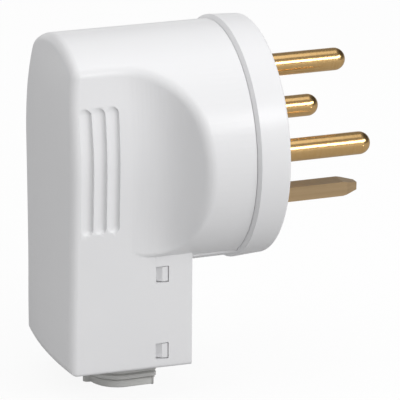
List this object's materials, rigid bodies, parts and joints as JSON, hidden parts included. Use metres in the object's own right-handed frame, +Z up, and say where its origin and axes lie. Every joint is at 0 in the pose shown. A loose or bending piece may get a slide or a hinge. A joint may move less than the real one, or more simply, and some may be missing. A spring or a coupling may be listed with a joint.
{
  "type": "industrial plug",
  "caption": "White industrial power plug with round brass pins, a flat earth pin, scooped finger grips and a downward cable entry with a grey gland.",
  "frame": {"origin": "middle of the mating face, on the axis of the pin circle", "axes": "+X along the pins, out of the mating face; +Z up, away from the cable entry; +Y to the side"},
  "size_m": [0.0795, 0.0584, 0.0879],
  "materials": {
    "white_plastic": "satin moulded white plastic",
    "brass": "polished brass",
    "grey_plastic": "matt grey plastic",
    "zinc_steel": "zinc-plated steel",
    "grey_rubber": "matt light grey elastomer"
  },
  "bodies": {
    "root": {"housing": "white_plastic", "pin_carrier": "white_plastic", "phase_pin_top": "brass", "phase_pin_far": "brass", "phase_pin_near": "brass", "earth_pin": "brass", "phase_terminal_screws": "zinc_steel", "earth_terminal_screw": "zinc_steel", "earth_saddle": "zinc_steel", "pin_retainer": "grey_plastic", "retainer_screws": "zinc_steel", "cable_clamp": "grey_plastic", "clamp_screws": "zinc_steel", "gland": "grey_rubber", "housing_screw": "zinc_steel", "housing_insert": "brass"}
  },
  "joints": []
}
